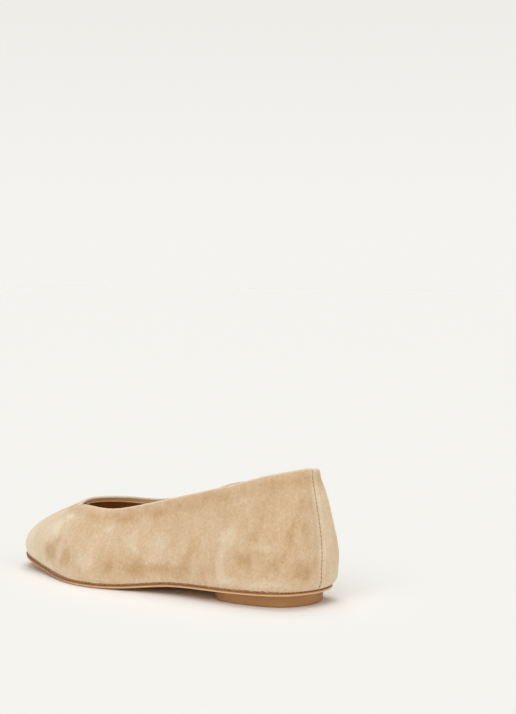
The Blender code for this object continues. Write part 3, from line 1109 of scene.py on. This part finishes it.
def suede_soil(tree, place, axes):
    """Share of soil just above the sole, reaching higher round the toe."""
    speckle = noise_value(tree, stretched(tree, place, (1.0, 1.0, 0.12)), 900.0, 3.0, 0.7)
    toe = spread(tree, axes["Y"], *SOIL_TOE)
    reach = maths(tree, "MULTIPLY_ADD", toe, SOIL_REACH_TOE, SOIL_REACH)
    reach = maths(tree, "MULTIPLY", reach, maths(tree, "MULTIPLY_ADD", speckle, 0.9, 0.55))
    soil = maths(tree, "SUBTRACT", 1.0, maths(tree, "DIVIDE", field(tree, "from_foot"), reach))
    return spread(tree, soil, -0.05, 0.15, 0.0, SOIL_SHARE)


def suede_material(nap):
    """Beige suede: brushed nap, painted light on the folded edge and the back strip, painted shade low
    inside the fold, soiled where it meets the sole.
    """
    made, tree, shader, place = new_material("brushed_suede")
    brushed = placed_group(tree, nap, {"Place": place, "Marks": field(tree, "nap")})
    across = maths(tree, "ABSOLUTE", field(tree, "seam"))
    turned_in = field(tree, "turned_in")
    axes = add(tree, "SeparateXYZ", {"Vector": place}).outputs
    colour = suede_ramp(tree, suede_tone(tree, axes, brushed.outputs["Tone"], across))
    colour = mixed(tree, suede_soil(tree, place, axes), colour, SUEDE_SOILED)
    colour = mixed(tree, fading(tree, across, *SEAM_LINE, SEAM_LINE_SHARE), colour, SUEDE_SEAM)
    # painted light on the fold
    colour = mixed(tree, spread(tree, turned_in, 0.0, 1.0, 0.0, FOLD_SHARE), colour, FOLD_PAINTED_LIGHT)
    # painted shade on the lower fold
    colour = mixed(tree, spread(tree, turned_in, 1.1, 1.7, 0.0, FOLD_SHARE), colour, FOLD_PAINTED_SHADE)
    surface(tree, shader, colour, 0.95, brushed.outputs["Height"], 0.45, 0.00022)
    shader.inputs["Specular IOR Level"].default_value = 0.12
    shader.inputs["Sheen Weight"].default_value = 0.35
    shader.inputs["Sheen Roughness"].default_value = 0.55
    shader.inputs["Sheen Tint"].default_value = SUEDE_SHEEN
    return made


def lining_material(grain):
    """Tan lining leather with a pale cut edge, partly a painted highlight where the edge catches the
    light.
    """
    made, tree, shader, place = new_material("lining_leather")
    texture = placed_group(tree, grain, {"Place": place, "Pebble": 1100.0})
    colour = two_toned(tree, texture.outputs["Tone"], -0.3, 0.3, LINING_LEATHER, LINING_LEATHER_DARK)
    # pale cut edge, partly a painted highlight
    edge = fading(tree, field(tree, "from_top"), *LINING_EDGE_HIGHLIGHT_END)
    colour = mixed(tree, edge, colour, LINING_EDGE_AND_HIGHLIGHT)
    surface(tree, shader, colour, 0.55, texture.outputs["Height"], 0.25, 0.00012)
    return made


def sock_material(grain):
    """Tan sock leather, its gloss uneven."""
    made, tree, shader, place = new_material("sock_leather_finish")
    texture = placed_group(tree, grain, {"Place": place, "Pebble": 800.0})
    tone = texture.outputs["Tone"]
    colour = two_toned(tree, tone, -0.3, 0.3, SOCK_LEATHER, SOCK_LEATHER_DARK)
    rough = maths(tree, "MULTIPLY_ADD", tone, 0.2, 0.5)
    surface(tree, shader, colour, rough, texture.outputs["Height"], 0.3, 0.00015)
    return made


def sole_edge_material():
    """Cut and burnished leather edge: fibres along it, darker at its top (burnish and painted shade)
    and at its foot (painted shade), by how far it faces up, so that the upright band between is a
    painted highlight.
    """
    made, tree, shader, place = new_material("sole_edge")
    fibres = noise_value(tree, stretched(tree, place, (0.08, 0.08, 1.6)), 1900.0, 3.0, 0.6)
    colour = two_toned(tree, fibres, 0.3, 0.7, SOLE_EDGE, SOLE_EDGE_FIBRE)
    toe = spread(tree, add(tree, "SeparateXYZ", {"Vector": place}).outputs["Y"], *SOLE_EDGE_TOE)
    level = maths(tree, "MULTIPLY_ADD", toe, 0.12, field(tree, "level"))
    # burnish and painted shade where the edge faces up
    colour = mixed(tree, spread(tree, level, -0.06, 0.08, 0.0, 0.92), colour, SOLE_EDGE_BURNISH_AND_SHADE)
    # painted shade where the edge faces down
    colour = mixed(tree, spread(tree, level, -0.30, -0.75, 0.0, 0.7), colour, SOLE_EDGE_FOOT_SHADE)
    surface(tree, shader, colour, 0.50, fibres, 0.2, 0.0001)
    shader.inputs["Coat Weight"].default_value = 0.06
    return made


def sole_bottom_material(grain):
    """Leather of the tread, plain tan, its gloss uneven."""
    made, tree, shader, place = new_material("sole_bottom")
    texture = placed_group(tree, grain, {"Place": place, "Pebble": 700.0})
    cloud = noise_value(tree, place, 38.0, 4.0, 0.6, 0.5)
    colour = two_toned(tree, cloud, 0.3, 0.7, SOLE_BOTTOM, SOLE_BOTTOM_DARK)
    rough = maths(tree, "MULTIPLY_ADD", cloud, 0.25, 0.42)
    surface(tree, shader, colour, rough, texture.outputs["Height"], 0.25, 0.00012)
    return made


def sole_top_material():
    """Darkened top of the sole, where it shows as a narrow ledge."""
    made, tree, shader, place = new_material("sole_ledge")
    rough = noise_value(tree, place, 600.0, 3.0, 0.6)
    colour = two_toned(tree, rough, 0.3, 0.7, LEDGE, LEDGE_DARK)
    surface(tree, shader, colour, 0.8, rough, 0.3, 0.0002)
    return made


def pad_material():
    """Tan rubber with a fine matt texture."""
    made, tree, shader, place = new_material("pad_rubber_finish")
    fine = noise_value(tree, place, 1600.0, 2.0, 0.6)
    cloud = noise_value(tree, place, 60.0, 3.0, 0.55)
    colour = two_toned(tree, cloud, 0.3, 0.7, PAD, PAD_DARK)
    surface(tree, shader, colour, 0.62, fine, 0.3, 0.0001)
    return made


def feather_material():
    """Rough dark edge of the margin, partly painted shade of the gap above the sole."""
    made, tree, shader, place = new_material("feather_brown")
    rough = noise_value(tree, place, 1300.0, 3.0, 0.7)
    colour = two_toned(tree, rough, 0.40, 0.60, FEATHER_DARK, FEATHER_PALE)
    surface(tree, shader, colour, 0.9, rough, 0.6, 0.0003)
    return made


def thread_material():
    """Brown thread, sunk in its holes."""
    made, tree, shader, place = new_material("brown_thread")
    twist = noise_value(tree, stretched(tree, place, (1.0, 1.0, 0.4)), 5000.0, 2.0, 0.5)
    colour = mixed(tree, twist, THREAD_DARK, THREAD_PALE)
    surface(tree, shader, colour, 0.85, twist, 0.4, 0.0001)
    return made


def make_floor():
    """Plain pale floor."""
    made, _, shader, _ = new_material("pale_floor")
    shader.inputs["Base Color"].default_value = (*FLOOR_COLOUR, 1.0)
    shader.inputs["Roughness"].default_value = 0.9
    shader.inputs["Specular IOR Level"].default_value = 0.1
    mesh_data = bmesh.new()
    bmesh.ops.create_grid(
        mesh_data, x_segments=FLOOR_SQUARES, y_segments=FLOOR_SQUARES, size=FLOOR_SIZE / 2.0
    )
    mesh = bpy.data.meshes.new("floor")
    mesh_data.to_mesh(mesh)
    mesh_data.free()
    mesh.materials.append(made)
    floor = bpy.data.objects.new("floor", mesh)
    bpy.context.scene.collection.objects.link(floor)


def make_light():
    """Even light from all round, a pale backdrop that darkens upwards, and broad soft lamps."""
    world = bpy.data.worlds.new("studio")
    bpy.context.scene.world = world
    world.use_nodes = True
    tree = world.node_tree
    tree.nodes.clear()
    output = tree.nodes.new("ShaderNodeOutputWorld")
    rise = add(tree, "TexCoord").outputs["Generated"]
    level = add(tree, "SeparateXYZ", {"Vector": rise}).outputs["Z"]
    sky = two_toned(tree, level, 0.0, SKY_RISE, (*SKY_LOW, 1.0), (*SKY_HIGH, 1.0))
    lit = add(tree, "Background", {"Color": sky, "Strength": 1.0}).outputs[0]
    shade = two_toned(tree, level, 0.0, BACKDROP_RISE, (*BACKDROP_LOW, 1.0), (*BACKDROP_HIGH, 1.0))
    seen = add(tree, "Background", {"Color": shade, "Strength": 1.0}).outputs[0]
    camera_ray = add(tree, "LightPath").outputs["Is Camera Ray"]
    both = add(tree, "MixShader", {0: camera_ray, 1: lit, 2: seen})
    put(tree, both.outputs[0], output.inputs["Surface"])
    for name, strength, softness, direction in SUNS:
        lamp = bpy.data.lights.new(name, "SUN")
        lamp.energy = strength
        lamp.angle = math.radians(softness)
        lamp.color = LAMP_COLOUR
        holder = bpy.data.objects.new(name, lamp)
        holder.rotation_mode = "QUATERNION"
        holder.rotation_quaternion = Vector(direction).to_track_quat("Z", "Y")
        bpy.context.scene.collection.objects.link(holder)


def make_camera():
    """The photograph's viewing angle."""
    lens = bpy.data.cameras.new("camera")
    lens.lens = LENS_MM
    lens.sensor_width = SENSOR_MM
    lens.clip_end = FARTHEST_SEEN
    camera = bpy.data.objects.new("camera", lens)
    camera.rotation_mode = "QUATERNION"
    camera.location = CAMERA_PLACE
    camera.rotation_quaternion = (CAMERA_PLACE - CAMERA_AIM).to_track_quat("Z", "Y")
    bpy.context.scene.collection.objects.link(camera)
    bpy.context.scene.camera = camera


def dress():
    """Every finished piece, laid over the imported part."""
    outside, inside = upper_walls()
    nap = nap_group()
    grain = grain_group()
    face, normals = make_suede(outside, suede_material(nap))
    make_lining(inside, lining_material(grain))
    make_stitches(face, normals, thread_material())
    make_feather(outside, feather_material())
    dressed_copy("insole", INSOLE_BEVEL, [sock_material(grain)])
    sole_finishes = [sole_edge_material(), sole_bottom_material(grain), sole_top_material()]
    dressed_copy("outsole", OUTSOLE_BEVEL, sole_finishes, sole_face)
    dressed_copy("heel", HEEL_BEVEL, [pad_material()])


make_camera()
make_light()
make_floor()
bpy.context.scene.view_settings.view_transform = "Standard"
dress()
